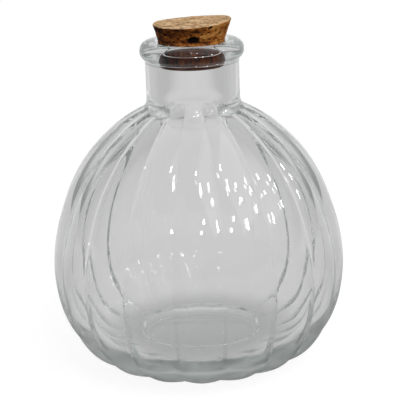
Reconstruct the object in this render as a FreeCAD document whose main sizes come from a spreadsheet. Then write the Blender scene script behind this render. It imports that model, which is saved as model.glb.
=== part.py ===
import FreeCAD, Part
import os
import Sketcher

# A fluted, pumpkin-shaped glass jar with a straight neck, a rolled bead lip and a short tapered cork.
# Millimetres and degrees. The origin is the middle of the base, +Z is up, and a lobe's crest faces -Y.

# Driving dimensions, each set by itself
SIZES = {
    # Outside of the glass
    "belly_radius": 48.6,
    "belly_height": 33.5,
    "foot_radius": 29.8,
    "shoulder_height": 85.6,
    "shoulder_fillet": 2.0,
    "neck_radius": 15.2,
    "neck_length": 21.9,
    "bead_overhang": 1.65,
    "bead_section_radius": 4.0,
    "bead_fillet": 1.0,
    # Lobes
    "lobe_count": 18,
    "lobe_depth": 1.05,
    # Inside of the glass
    "belly_wall": 2.4,
    "neck_wall": 4.3,
    "bore_drop": 1.2,
    "bore_fillet": 2.5,
    "mouth_fillet": 1.2,
    "base_thickness": 5.8,
    "floor_radius": 22.6,
    "foot_ring_width": 6.2,
    "push_up_height": 1.0,
    # Cork: squeezed in the bore, wider above the lip by its flare, narrower at its end by its taper
    "cork_flare": 2.2,
    "cork_taper": 1.2,
    "cork_depth": 8.7,
    "cork_proud": 5.35,
    "cork_clearance": 0.3,
    "cork_edge_fillet": 0.5,
    "cork_top_slope": 2.75,
}

# Outline from foot to belly: share of the height, share of the way from foot radius to belly radius
LOWER_OUTLINE_SHARES = ((0, 0), (0.113, 0.41), (0.277, 0.68), (0.505, 0.875), (0.746, 0.972), (1, 1))
# Outline from belly to neck: share of the height, share of the way from neck radius to belly radius.
# The last level lies inside the neck, so that shoulder and neck cross cleanly.
UPPER_OUTLINE_SHARES = (
    (0.179, 0.97), (0.348, 0.9), (0.517, 0.79), (0.667, 0.644), (0.808, 0.446), (0.923, 0.222),
    (1.03, -0.09),
)
# Cavity from floor to belly: share of the height, share of the way from floor radius to belly radius
CAVITY_OUTLINE_SHARES = ((0, 0), (0.06, 0.42), (0.2, 0.7), (0.45, 0.89), (0.72, 0.975), (1, 1))
# Depth of the valleys at each level that has lobes, from the foot up, as shares of the lobe depth.
# They deepen where the wall leans, and the lobe's tip sinks under the shoulder.
LOBE_DEPTH_SHARES = (1.3, 1.75, 1.35, 1.1, 1, 1, 1, 1.05, 1.15, 1.15, 0.8)
LOBE_SINK_SHARE = 0.5
# The round core lies this many lobe depths under the crests, so the valleys stay clear of it
CORE_DEPTH_SHARE = 1.6
# Each lobe section is this much wider than its pitch, so that neighbours cross in the valley
LOBE_OVERLAP_SHARE = 1.3

LIP_HEIGHT = "(Sizes.shoulder_height + Sizes.neck_length)"
BEAD_HEIGHT = f"({LIP_HEIGHT} - Sizes.bead_section_radius)"
BEAD_RING_RADIUS = "(Sizes.neck_radius + Sizes.bead_overhang - Sizes.bead_section_radius)"
BORE_RADIUS = "(Sizes.neck_radius - Sizes.neck_wall)"
FLOOR_HEIGHT = "(Sizes.push_up_height + Sizes.base_thickness)"
PUSH_UP_RADIUS = "(Sizes.foot_radius - Sizes.foot_ring_width)"
INNER_BELLY_RADIUS = "(Sizes.belly_radius - Sizes.lobe_depth - Sizes.belly_wall)"
BORE_FOOT_HEIGHT = "(Sizes.shoulder_height - Sizes.bore_drop)"
LOBE_HALF_PITCH = "(180 deg / Sizes.lobe_count)"

doc = FreeCAD.newDocument("fluted_jar")
sheet = doc.addObject("Spreadsheet::Sheet", "Sizes")
for row, (alias, number) in enumerate(SIZES.items(), start=1):
    sheet.set(f"A{row}", alias)
    sheet.set(f"B{row}", str(number))
    sheet.setAlias(f"B{row}", alias)
doc.recompute()


def size(expression):
    """Value of an expression in the sheet's sizes."""
    result = sheet.evalExpression(expression)
    return getattr(result, "Value", result)


def between(low, high, share):
    """Expression for a share of the way from one size to another."""
    return f"({low} + ({high} - {low}) * {share})"


def bead_surface(side, radius):
    """Expression for the height of the bead's upper (+) or lower (-) surface at a radius from the axis."""
    offset = f"({radius} - {BEAD_RING_RADIUS})"
    return f"({BEAD_HEIGHT} {side} sqrt(Sizes.bead_section_radius ^ 2 - {offset} ^ 2))"


def new_body(label):
    """Empty body with its own label."""
    body = doc.addObject("PartDesign::Body", label)
    body.Label = label
    return body


def origin_feature(body, role):
    """One of the body's own origin planes or axes."""
    return next(feature for feature in body.Origin.OriginFeatures if feature.Role == role)


def new_sketch(body, name, plane, height="0"):
    """Empty sketch on one of the body's origin planes, lifted to a height."""
    sketch = body.newObject("Sketcher::SketchObject", name)
    sketch.AttachmentSupport = [(origin_feature(body, plane), "")]
    sketch.MapMode = "FlatFace"
    sketch.setExpression("AttachmentOffset.Base.z", height)
    return sketch


def relate(sketch, *arguments):
    """Geometric constraint."""
    return sketch.addConstraint(Sketcher.Constraint(*arguments))


def measure(sketch, name, expression, *arguments):
    """Named dimension whose value follows the sheet."""
    index = relate(sketch, *arguments, size(expression))
    sketch.renameConstraint(index, name)
    sketch.setExpression(f"Constraints.{name}", expression)


def ring_sketch(body, name, height, radius):
    """Circle about the upright axis at one level."""
    sketch = new_sketch(body, name, "XY_Plane", height)
    circle = sketch.addGeometry(Part.Circle(FreeCAD.Vector(), FreeCAD.Vector(0, 0, 1), size(radius)))
    relate(sketch, "Coincident", circle, 3, -1, 1)
    measure(sketch, "ring_radius", radius, "Radius", circle)
    return sketch


def lobe_sketch(body, name, height, crest, depth):
    """Section of the lobe that faces -Y: an arc over crest and valleys, closed by its chord."""
    valley = f"({crest} - {depth})"
    half_width = f"({valley} * sin({LOBE_HALF_PITCH}))"
    rise = f"({crest} - {valley} * cos({LOBE_HALF_PITCH}))"
    radius = f"(({half_width} ^ 2 + {rise} ^ 2) / (2 * {rise}))"
    centre = f"({crest} - {radius})"
    chord_length = f"(2 * {half_width} * {LOBE_OVERLAP_SHARE})"
    half_chord = size(chord_length) / 2
    middle = FreeCAD.Vector(0, -size(centre), 0)
    drop = (size(radius) ** 2 - half_chord ** 2) ** 0.5
    left = middle + FreeCAD.Vector(-half_chord, -drop, 0)
    right = middle + FreeCAD.Vector(half_chord, -drop, 0)
    sketch = new_sketch(body, name, "XY_Plane", height)
    arc = sketch.addGeometry(Part.Arc(left, FreeCAD.Vector(0, -size(crest), 0), right))
    chord = sketch.addGeometry(Part.LineSegment(right, left))
    relate(sketch, "Coincident", arc, 2, chord, 1)
    relate(sketch, "Coincident", arc, 1, chord, 2)
    relate(sketch, "PointOnObject", arc, 3, -2)
    relate(sketch, "Horizontal", chord)
    measure(sketch, "lobe_radius", radius, "Radius", arc)
    measure(sketch, "lobe_centre", centre, "DistanceY", arc, 3, -1, 1)
    measure(sketch, "lobe_chord", chord_length, "DistanceX", chord, 2, chord, 1)
    return sketch


def outline_sketch(body, name, points):
    """Closed straight-sided half section on XZ, from pairs of expressions for radius and height."""
    sketch = new_sketch(body, name, "XZ_Plane")
    corners = [FreeCAD.Vector(size(radius), size(height), 0) for radius, height in points]
    ends = corners[1:] + corners[:1]
    lines = [sketch.addGeometry(Part.LineSegment(start, end)) for start, end in zip(corners, ends)]
    for index, (radius, height) in enumerate(points):
        line = lines[index]
        relate(sketch, "Coincident", lines[index - 1], 2, line, 1)
        if radius == "0":
            relate(sketch, "PointOnObject", line, 1, -2)
        else:
            measure(sketch, f"radius_{index}", radius, "DistanceX", -1, 1, line, 1)
        if height == "0":
            relate(sketch, "PointOnObject", line, 1, -1)
        else:
            measure(sketch, f"height_{index}", height, "DistanceY", -1, 1, line, 1)
    return sketch


def loft(body, kind, name, sections):
    """Smooth loft through level sections, added or taken away."""
    feature = body.newObject(f"PartDesign::{kind}", name)
    feature.Profile = sections[0]
    feature.Sections = sections[1:]
    return feature


def turned(body, kind, name, sketch):
    """Full turn of a half section about the body's upright axis, added or taken away."""
    feature = body.newObject(f"PartDesign::{kind}", name)
    feature.Profile = sketch
    feature.ReferenceAxis = (origin_feature(body, "Z_Axis"), [""])
    feature.Angle = 360
    return feature


def rounded(body, name, fillet, radius, height):
    """Fillet on the round edge nearest to a given radius and height on the body so far."""
    doc.recompute()
    base = body.Tip

    def miss(edge):
        box = edge.BoundBox
        return abs(box.XLength / 2 - size(radius)) + abs(box.Center.z - size(height)) + box.ZLength

    edges = base.Shape.Edges
    nearest = min(range(len(edges)), key=lambda index: miss(edges[index]))
    feature = body.newObject("PartDesign::Fillet", name)
    feature.Base = (base, [f"Edge{nearest + 1}"])
    feature.setExpression("Radius", fillet)
    doc.recompute()
    return feature


def outer_levels():
    """Height and crest radius of each level of the outside, from the foot to inside the neck."""
    lower = [
        (between("0", "Sizes.belly_height", rise),
         between("Sizes.foot_radius", "Sizes.belly_radius", swell))
        for rise, swell in LOWER_OUTLINE_SHARES
    ]
    upper = [
        (between("Sizes.belly_height", "Sizes.shoulder_height", rise),
         between("Sizes.neck_radius", "Sizes.belly_radius", swell))
        for rise, swell in UPPER_OUTLINE_SHARES
    ]
    return lower + upper


def cavity_levels():
    """Height and radius of each level of the inside, from the floor to inside the bore."""
    lower = [
        (between(FLOOR_HEIGHT, "Sizes.belly_height", rise),
         between("Sizes.floor_radius", INNER_BELLY_RADIUS, swell))
        for rise, swell in CAVITY_OUTLINE_SHARES
    ]
    upper = [
        (between("Sizes.belly_height", BORE_FOOT_HEIGHT, rise),
         between(BORE_RADIUS, INNER_BELLY_RADIUS, swell))
        for rise, swell in UPPER_OUTLINE_SHARES
    ]
    return lower + upper


def add_core(jar):
    """Round core just under the valleys, at full size where the lobes have died out."""
    shares = [share * CORE_DEPTH_SHARE for share in LOBE_DEPTH_SHARES]
    shares += [0] * (len(outer_levels()) - len(shares))
    rings = [
        ring_sketch(jar, f"core_ring_{index}", height, f"({crest} - Sizes.lobe_depth * {share})")
        for index, ((height, crest), share) in enumerate(zip(outer_levels(), shares))
    ]
    loft(jar, "AdditiveLoft", "core", rings)


def add_lobes(jar):
    """One lobe from the foot to the shoulder, repeated round the axis."""
    levels = outer_levels()
    sections = [
        lobe_sketch(jar, f"lobe_section_{index}", height, crest, f"Sizes.lobe_depth * {share}")
        for index, ((height, crest), share) in enumerate(zip(levels, LOBE_DEPTH_SHARES))
    ]
    height, crest = levels[len(sections)]
    sink = f"Sizes.lobe_depth * {LOBE_SINK_SHARE}"
    sections.append(lobe_sketch(jar, "lobe_tip", height, f"({crest} - {sink})", sink))
    lobe = loft(jar, "AdditiveLoft", "lobe", sections)
    doc.recompute()
    pattern = jar.newObject("PartDesign::PolarPattern", "lobes")
    pattern.Originals = [lobe]
    pattern.Axis = (origin_feature(jar, "Z_Axis"), [""])
    pattern.Angle = 360
    pattern.setExpression("Occurrences", "Sizes.lobe_count")
    jar.Tip = pattern


def add_neck(jar):
    """Straight neck and the rolled bead at its lip, rounded into the shoulder and each other."""
    neck_outline = outline_sketch(jar, "neck_outline", [
        ("0", "Sizes.belly_height"),
        ("Sizes.neck_radius", "Sizes.belly_height"),
        ("Sizes.neck_radius", BEAD_HEIGHT),
        ("0", BEAD_HEIGHT),
    ])
    turned(jar, "Revolution", "neck", neck_outline)
    bead_outline = new_sketch(jar, "bead_outline", "XZ_Plane")
    centre = FreeCAD.Vector(size(BEAD_RING_RADIUS), size(BEAD_HEIGHT), 0)
    section = Part.Circle(centre, FreeCAD.Vector(0, 0, 1), size("Sizes.bead_section_radius"))
    circle = bead_outline.addGeometry(section)
    measure(bead_outline, "section_radius", "Sizes.bead_section_radius", "Radius", circle)
    measure(bead_outline, "ring_radius", BEAD_RING_RADIUS, "DistanceX", -1, 1, circle, 3)
    measure(bead_outline, "ring_height", BEAD_HEIGHT, "DistanceY", -1, 1, circle, 3)
    turned(jar, "Revolution", "bead", bead_outline)
    rounded(jar, "shoulder_round", "Sizes.shoulder_fillet", "Sizes.neck_radius", "Sizes.shoulder_height")
    bead_foot = bead_surface("-", "Sizes.neck_radius")
    rounded(jar, "bead_round", "Sizes.bead_fillet", "Sizes.neck_radius", bead_foot)


def add_cavity(jar):
    """Inside of the belly, a wall's distance from the outside, and the bore it narrows into."""
    rings = [
        ring_sketch(jar, f"cavity_ring_{index}", height, radius)
        for index, (height, radius) in enumerate(cavity_levels())
    ]
    loft(jar, "SubtractiveLoft", "cavity", rings)
    bore_outline = outline_sketch(jar, "bore_outline", [
        ("0", "Sizes.belly_height"),
        (BORE_RADIUS, "Sizes.belly_height"),
        (BORE_RADIUS, LIP_HEIGHT),
        ("0", LIP_HEIGHT),
    ])
    turned(jar, "Groove", "bore", bore_outline)
    rounded(jar, "bore_round", "Sizes.bore_fillet", BORE_RADIUS, BORE_FOOT_HEIGHT)
    rounded(jar, "mouth_round", "Sizes.mouth_fillet", BORE_RADIUS, bead_surface("+", BORE_RADIUS))


def add_push_up(jar):
    """Shallow dome under the base, which leaves a flat ring to stand on."""
    sketch = new_sketch(jar, "push_up_outline", "XZ_Plane")
    middle = FreeCAD.Vector()
    rim = FreeCAD.Vector(size(PUSH_UP_RADIUS), 0, 0)
    crown = FreeCAD.Vector(0, size("Sizes.push_up_height"), 0)
    other_rim = FreeCAD.Vector(-rim.x, 0, 0)
    whole = Part.ArcOfCircle(rim, crown, other_rim)
    half_way = whole.value((whole.FirstParameter * 3 + whole.LastParameter) / 4)
    dome = sketch.addGeometry(Part.Arc(rim, half_way, crown))
    upright = sketch.addGeometry(Part.LineSegment(crown, middle))
    base = sketch.addGeometry(Part.LineSegment(middle, rim))
    relate(sketch, "Coincident", dome, 2, upright, 1)
    relate(sketch, "Coincident", upright, 2, -1, 1)
    relate(sketch, "Coincident", base, 1, -1, 1)
    relate(sketch, "Coincident", base, 2, dome, 1)
    relate(sketch, "Vertical", upright)
    relate(sketch, "Horizontal", base)
    relate(sketch, "PointOnObject", dome, 3, -2)
    measure(sketch, "dome_radius", PUSH_UP_RADIUS, "DistanceX", -1, 1, base, 2)
    measure(sketch, "dome_height", "Sizes.push_up_height", "DistanceY", -1, 1, upright, 1)
    doc.recompute()
    before = jar.Shape.Volume
    turned(jar, "Groove", "push_up", sketch)
    doc.recompute()
    if jar.Shape.Volume >= before:
        raise RuntimeError("the push-up cut nothing")


def make_glass_jar():
    """The jar: one piece of glass, hollow and open at the mouth."""
    jar = new_body("glass_jar")
    add_core(jar)
    add_lobes(jar)
    add_neck(jar)
    outside = jar.Shape.Volume
    add_cavity(jar)
    if jar.Shape.Volume >= outside:
        raise RuntimeError("the cavity cut nothing")
    add_push_up(jar)
    return jar


def make_cork_stopper():
    """The cork: squeezed in the bore, flared above the lip, and cut a little out of square at its top."""
    cork = new_body("cork_stopper")
    squeezed_radius = f"({BORE_RADIUS} - Sizes.cork_clearance)"
    bottom_radius = f"({squeezed_radius} - Sizes.cork_taper)"
    top_radius = f"({squeezed_radius} + Sizes.cork_flare)"
    mouth_depth = f"({bead_surface('+', BORE_RADIUS)} - {LIP_HEIGHT})"
    slope_rise = f"({top_radius} * tan(Sizes.cork_top_slope * 1 deg))"
    high_side = f"(Sizes.cork_proud + {slope_rise})"
    low_side = f"(Sizes.cork_proud - {slope_rise})"
    outline = outline_sketch(cork, "cork_outline", [
        ("0", "-Sizes.cork_depth"),
        (bottom_radius, "-Sizes.cork_depth"),
        (squeezed_radius, mouth_depth),
        (top_radius, "Sizes.cork_proud"),
        (top_radius, high_side),
        ("0", high_side),
    ])
    turned(cork, "Revolution", "plug", outline)
    offcut = outline_sketch(cork, "offcut_outline", [
        (f"-{top_radius}", low_side),
        (top_radius, high_side),
        (f"-{top_radius}", high_side),
    ])
    doc.recompute()
    before = cork.Shape.Volume
    top_cut = cork.newObject("PartDesign::Pocket", "top_cut")
    top_cut.Profile = offcut
    top_cut.Type = "ThroughAll"
    top_cut.Midplane = True
    doc.recompute()
    if cork.Shape.Volume >= before:
        raise RuntimeError("the slanting cut took nothing off the cork")
    rounded(cork, "top_round", "Sizes.cork_edge_fillet", top_radius, "Sizes.cork_proud")
    rounded(cork, "bottom_round", "Sizes.cork_edge_fillet", bottom_radius, "-Sizes.cork_depth")
    cork.setExpression("Placement.Base.z", LIP_HEIGHT)
    return cork


def write_parts(bodies):
    """Stops if anything failed to build, then writes each body to its own file."""
    doc.recompute()
    failed = [item.Name for item in doc.Objects if {"Invalid", "Error"} & set(item.State)]
    if failed:
        raise RuntimeError(f"failed objects: {failed}")
    for body in bodies:
        shape = body.Shape
        if shape.isNull() or not shape.isValid() or len(shape.Solids) != 1:
            raise RuntimeError(f"{body.Label} is not one valid solid")
    os.makedirs("parts", exist_ok=True)
    for body in bodies:
        body.Shape.exportStep(f"parts/{body.Label}.step")
        print(f"{body.Label}: {body.Shape.Volume / 1000:.1f} cm3, {len(body.Shape.Faces)} faces")


write_parts([make_glass_jar(), make_cork_stopper()])
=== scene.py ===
"""Looks of a fluted glass jar and its cork stopper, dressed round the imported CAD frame.

Sizes are in millimetres where a field says so, and become metres when a mesh is made. The frame is the
CAD's own: the origin is the middle of the base, +Z is up, and a lobe's crest faces -Y.
"""

import logging
import math
from dataclasses import dataclass
from enum import Enum
from typing import Any, Mapping, Sequence

import bmesh
import bpy
from mathutils import Matrix, Vector


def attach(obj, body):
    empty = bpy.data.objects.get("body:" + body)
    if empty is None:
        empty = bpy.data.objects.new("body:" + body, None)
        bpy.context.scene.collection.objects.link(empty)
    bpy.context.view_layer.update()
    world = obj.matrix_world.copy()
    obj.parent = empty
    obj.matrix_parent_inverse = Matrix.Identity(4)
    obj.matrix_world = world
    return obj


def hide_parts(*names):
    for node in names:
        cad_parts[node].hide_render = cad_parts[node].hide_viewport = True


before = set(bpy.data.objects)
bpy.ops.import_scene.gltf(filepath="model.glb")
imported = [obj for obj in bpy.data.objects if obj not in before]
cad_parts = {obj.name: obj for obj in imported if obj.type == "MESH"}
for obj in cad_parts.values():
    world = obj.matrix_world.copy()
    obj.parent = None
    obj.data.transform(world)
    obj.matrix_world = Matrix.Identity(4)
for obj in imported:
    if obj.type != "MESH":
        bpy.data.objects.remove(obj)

MM = 0.001
TINY = 1e-9
MERGE_GAP = 0.001 * MM
BEND_STEPS = 4
NOISE_MIDDLE = 0.5

Colour = tuple[float, float, float, float]
Span = tuple[float, float]
Stretch = tuple[float, float, float]
Stops = tuple[tuple[float, Colour], ...]
Shares = tuple[float, ...]
Socket = bpy.types.NodeSocket

log = logging.getLogger("fluted_jar")


class Body(Enum):
    """Bodies of the CAD frame that pieces ride on."""

    JAR = "jar"
    STOPPER = "stopper"


class Slot(Enum):
    """Material slots of the record."""

    GLASS = "clear_glass"
    CORK = "natural_cork"


class Ray(Enum):
    """Kinds of ray for which the backdrop has a level of its own."""

    CAMERA = "Is Camera Ray"
    GLOSSY = "Is Glossy Ray"
    TRANSMISSION = "Is Transmission Ray"


class Graph:
    """Adds and joins nodes in one node tree."""

    def __init__(self, tree: bpy.types.NodeTree) -> None:
        """Empties a node tree to build in."""
        self.tree = tree
        tree.nodes.clear()

    def feed(self, socket: Socket, value: Any) -> None:
        """Links an output to a socket, or sets the socket's own value.

        Args:
            socket: Input socket.
            value: Output socket to link, or a plain value.
        """
        if isinstance(value, Socket):
            self.tree.links.new(value, socket)
        else:
            socket.default_value = value

    def add(self, kind: str, feeds: Mapping[str, Any] | None = None, **settings: Any) -> bpy.types.Node:
        """Adds one node.

        Args:
            kind: Blender's name of the node type.
            feeds: Links or values for its inputs, by name.
            **settings: The node's own properties.

        Returns:
            The new node.
        """
        node = self.tree.nodes.new(kind)
        for name, setting in settings.items():
            setattr(node, name, setting)
        for name, value in (feeds or {}).items():
            self.feed(node.inputs[name], value)
        return node

    def math(self, operation: str, *values: Any) -> Socket:
        """Adds a Math node.

        Args:
            operation: Blender's name of the operation.
            *values: Links or numbers, in the order of the inputs.

        Returns:
            The node's output.
        """
        node = self.add("ShaderNodeMath", operation=operation)
        for socket, value in zip(node.inputs, values):
            self.feed(socket, value)
        return node.outputs[0]

    def vector_math(self, operation: str, first: Any, second: Any) -> Socket:
        """Adds a Vector Math node of two vectors.

        Args:
            operation: Blender's name of the operation.
            first: First vector, linked or plain.
            second: Second vector, linked or plain.

        Returns:
            The node's vector output.
        """
        node = self.add("ShaderNodeVectorMath", operation=operation)
        self.feed(node.inputs[0], first)
        self.feed(node.inputs[1], second)
        return node.outputs["Vector"]

    def split(self, vector: Socket) -> Mapping[str, Socket]:
        """Parts of a vector, by the names X, Y and Z."""
        return self.add("ShaderNodeSeparateXYZ", {"Vector": vector}).outputs

    def join(self, across: Any, along: Any, upwards: Any) -> Socket:
        """Vector of three parts."""
        feeds = {"X": across, "Y": along, "Z": upwards}
        return self.add("ShaderNodeCombineXYZ", feeds).outputs["Vector"]

    def length(self, vector: Socket) -> Socket:
        """Length of a vector.

        Args:
            vector: The vector.

        Returns:
            Its length.
        """
        node = self.add("ShaderNodeVectorMath", operation="LENGTH")
        self.feed(node.inputs[0], vector)
        return node.outputs["Value"]

    def fade(self, value: Any, low: Any, high: Any, at_low: float = 0.0, at_high: float = 1.0) -> Socket:
        """Smooth step from one result to another while a value goes from low to high."""
        feeds = {"Value": value, "From Min": low, "From Max": high, "To Min": at_low, "To Max": at_high}
        return self.add("ShaderNodeMapRange", feeds, interpolation_type="SMOOTHSTEP").outputs["Result"]

    def noise(self, vector: Any, scale: Any, detail: float = 2.0, roughness: float = 0.5) -> Socket:
        """Fractal noise from 0 to 1 at a place, with a scale in bumps for each unit of length."""
        feeds = {"Vector": vector, "Scale": scale, "Detail": detail, "Roughness": roughness}
        return self.add("ShaderNodeTexNoise", feeds).outputs[0]

    def ramp(self, factor: Any, stops: Sequence[tuple[float, Colour]]) -> Socket:
        """Adds a colour ramp.

        Args:
            factor: Where on the ramp.
            stops: Place and colour of each stop, in order.

        Returns:
            The ramp's colour.
        """
        node = self.add("ShaderNodeValToRGB", {"Fac": factor})
        elements = node.color_ramp.elements
        while len(elements) < len(stops):
            elements.new(1.0)
        for element, (place, colour) in zip(elements, stops):
            element.position = place
            element.color = colour
        return node.outputs["Color"]

    def tint(self, factor: Any, under: Any, over: Any, how: str = "MIX") -> Socket:
        """Adds a mix of two colours.

        Args:
            factor: Share of the second colour.
            under: First colour.
            over: Second colour.
            how: Blender's name of the blend.

        Returns:
            The mixed colour.
        """
        node = self.add("ShaderNodeMix", data_type="RGBA", blend_type=how)
        inputs = {socket.identifier: socket for socket in node.inputs}
        self.feed(inputs["Factor_Float"], factor)
        self.feed(inputs["A_Color"], under)
        self.feed(inputs["B_Color"], over)
        return next(socket for socket in node.outputs if socket.identifier == "Result_Color")


def new_material(name: str) -> tuple[bpy.types.Material, Graph]:
    """Makes an empty node material.

    Args:
        name: The material's name.

    Returns:
        The material and the graph of its nodes.
    """
    material = bpy.data.materials.new(name)
    material.use_nodes = True
    return material, Graph(material.node_tree)


def grey(level: float) -> Colour:
    """Neutral colour of one level."""
    return level, level, level, 1.0


@dataclass(frozen=True)
class ClearGlass:
    """Fire-polished glass, faintly grey-green, with soft draw lines, a trace of bloom and a frosted heel.

    Lengths are in metres and scales in bumps for each metre.
    """

    tint: Colour = (0.965, 0.963, 0.965, 1.0)
    refractive_index: float = 1.5
    absorption: Colour = (0.70, 0.79, 0.76, 1.0)
    absorption_density: float = 5.0
    bloom_roughness: float = 0.03
    heel_roughness: float = 0.15
    heel_top: float = 0.022
    heel_full: float = 0.006
    heel_inner_radius: float = 0.021
    heel_outer_radius: float = 0.024
    draw_stretch: Stretch = (1.0, 1.0, 0.35)
    ripple_scale: float = 120.0
    ripple_height: float = 0.00004
    ripple_strength: float = 0.5
    bloom_scale: float = 60.0
    bloom_range: Span = (0.45, 0.8)

    def material(self) -> bpy.types.Material:
        """Builds the material.

        Returns:
            The glass material.
        """
        material, graph = new_material("clear_glass")
        place = graph.add("ShaderNodeTexCoord").outputs["Object"]
        drawn = graph.vector_math("MULTIPLY", place, self.draw_stretch)
        ripple = graph.noise(drawn, self.ripple_scale)
        bump = graph.add(
            "ShaderNodeBump",
            {"Height": ripple, "Strength": self.ripple_strength, "Distance": self.ripple_height},
        )
        bloom = graph.noise(place, self.bloom_scale, detail=4.0)
        clouded = graph.fade(bloom, *self.bloom_range, 0.0, self.bloom_roughness)
        spot = graph.split(place)
        reach = graph.length(graph.join(spot["X"], spot["Y"], 0.0))
        low = graph.fade(spot["Z"], self.heel_full, self.heel_top, 1.0, 0.0)
        outer = graph.fade(reach, self.heel_inner_radius, self.heel_outer_radius)
        chilled = graph.math("MULTIPLY", graph.math("MULTIPLY", low, outer), self.heel_roughness)
        roughness = graph.math("MAXIMUM", clouded, chilled)
        shader = graph.add(
            "ShaderNodeBsdfPrincipled",
            {
                "Base Color": self.tint,
                "IOR": self.refractive_index,
                "Transmission Weight": 1.0,
                "Roughness": roughness,
                "Normal": bump.outputs["Normal"],
            },
        )
        inside = graph.add(
            "ShaderNodeVolumeAbsorption", {"Color": self.absorption, "Density": self.absorption_density}
        )
        graph.add(
            "ShaderNodeOutputMaterial",
            {"Surface": shader.outputs["BSDF"], "Volume": inside.outputs["Volume"]},
        )
        return material


@dataclass(frozen=True)
class NaturalCork:
    """Raw cork: mottled bark grain, pale where it is cut across and painted lighter on top, with painted
    shade on the left, painted light on the right and painted shade in the neck, nearly black in its pores.

    Lengths are in millimetres and scales in bumps for each millimetre. A range is where a pattern starts
    to show and where it shows in full.
    """

    pit_attribute: str = "pit"
    end_attribute: str = "cut_end"
    layer_stretch: Stretch = (0.55, 0.8, 1.5)
    patch_scale: float = 0.35
    patch_share: float = 0.5
    grain_scale: float = 1.5
    grain_range: Span = (0.3, 0.7)
    grain_roughness: Span = (0.94, 0.72)
    # Painted shade and light: the side is darkened towards the left and lightened towards the right, as a
    # light from the right would do.
    painted_side_shading: float = 0.06
    painted_shading_span: Span = (-11.0, 9.0)
    ring_stretch: Stretch = (0.3, 0.3, 1.0)
    ring_scale: float = 0.7
    crack_width: float = 0.03
    crack_depth: float = 0.6
    crack_colour: Colour = (0.06, 0.022, 0.008, 1.0)
    speck_scale: float = 3.2
    speck_range: Span = (0.60, 0.72)
    speck_colour: Colour = (0.10, 0.04, 0.015, 1.0)
    pit_range: Span = (0.05, 0.65)
    pit_colour: Colour = (0.012, 0.006, 0.004, 1.0)
    # Painted shade: the cork is darkened below the lip, where it sits in the neck and gets less light.
    neck_shade_top: float = 107.0
    neck_shade_blend: float = 1.0
    painted_neck_shade_tint: Colour = (0.3, 0.18, 0.1, 1.0)
    crumb_scale: float = 4.5
    crumb_height: float = 0.15
    crumb_strength: float = 0.8
    specular_level: float = 0.1
    side_stops: Stops = (
        (0.36, (0.018, 0.006, 0.002, 1.0)),
        (0.435, (0.085, 0.024, 0.005, 1.0)),
        (0.49, (0.27, 0.078, 0.013, 1.0)),
        (0.55, (0.54, 0.185, 0.032, 1.0)),
        (0.63, (0.74, 0.36, 0.095, 1.0)),
    )
    # The cut ends are paler: partly the end grain's own tone, partly painted light on the top.
    end_grain_and_top_light_stops: Stops = (
        (0.34, (0.22, 0.105, 0.044, 1.0)),
        (0.43, (0.48, 0.285, 0.14, 1.0)),
        (0.51, (0.72, 0.47, 0.25, 1.0)),
        (0.60, (0.90, 0.65, 0.40, 1.0)),
    )

    def material(self) -> bpy.types.Material:
        """Builds the material.

        Returns:
            The cork material.
        """
        material, graph = new_material("natural_cork")
        place = graph.add("ShaderNodeTexCoord").outputs["Object"]
        millimetres = graph.vector_math("MULTIPLY", place, (1 / MM,) * 3)
        layered = graph.vector_math("MULTIPLY", millimetres, self.layer_stretch)
        patches = graph.noise(layered, self.patch_scale, detail=3.0, roughness=0.6)
        grain = graph.noise(layered, self.grain_scale, detail=6.0, roughness=0.7)
        patched = graph.math("MULTIPLY", patches, self.patch_share)
        mottle = graph.math("ADD", patched, graph.math("MULTIPLY", grain, 1.0 - self.patch_share))
        spot = graph.split(millimetres)
        # Painted shade on the left of the cork's side and painted light on its right, across a span in X.
        painted_shading = graph.fade(spot["X"], *self.painted_shading_span, -self.painted_side_shading, self.painted_side_shading)
        side = graph.ramp(graph.math("ADD", mottle, painted_shading), self.side_stops)
        # Paler cut ends: partly the end grain's own tone, partly painted light on the top.
        end = graph.ramp(mottle, self.end_grain_and_top_light_stops)
        at_end = graph.add("ShaderNodeAttribute", attribute_name=self.end_attribute).outputs["Fac"]
        bark = graph.tint(at_end, side, end)
        flattened = graph.vector_math("MULTIPLY", millimetres, self.ring_stretch)
        rings = graph.noise(flattened, self.ring_scale, detail=4.0)
        off_ring = graph.math("ABSOLUTE", graph.math("SUBTRACT", rings, NOISE_MIDDLE))
        cracks = graph.fade(off_ring, 0.0, self.crack_width, self.crack_depth, 0.0)
        cracked = graph.tint(cracks, bark, self.crack_colour)
        specks = graph.noise(millimetres, self.speck_scale)
        speckled = graph.tint(graph.fade(specks, *self.speck_range), cracked, self.speck_colour)
        in_pit = graph.add("ShaderNodeAttribute", attribute_name=self.pit_attribute).outputs["Fac"]
        colour = graph.tint(graph.fade(in_pit, *self.pit_range), speckled, self.pit_colour)
        # Painted shade below the lip, where the cork sits in the neck.
        in_painted_neck_shade = graph.fade(spot["Z"], self.neck_shade_top, self.neck_shade_top - self.neck_shade_blend)
        crumbs = graph.noise(millimetres, self.crumb_scale, detail=5.0, roughness=0.7)
        bump = graph.add(
            "ShaderNodeBump",
            {"Height": crumbs, "Strength": self.crumb_strength, "Distance": self.crumb_height * MM},
        )
        shader = graph.add(
            "ShaderNodeBsdfPrincipled",
            {
                "Base Color": graph.tint(in_painted_neck_shade, colour, self.painted_neck_shade_tint, "MULTIPLY"),
                "Roughness": graph.fade(grain, *self.grain_range, *self.grain_roughness),
                "Normal": bump.outputs["Normal"],
                "Specular IOR Level": self.specular_level,
            },
        )
        graph.add("ShaderNodeOutputMaterial", {"Surface": shader.outputs["BSDF"]})
        return material


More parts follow.
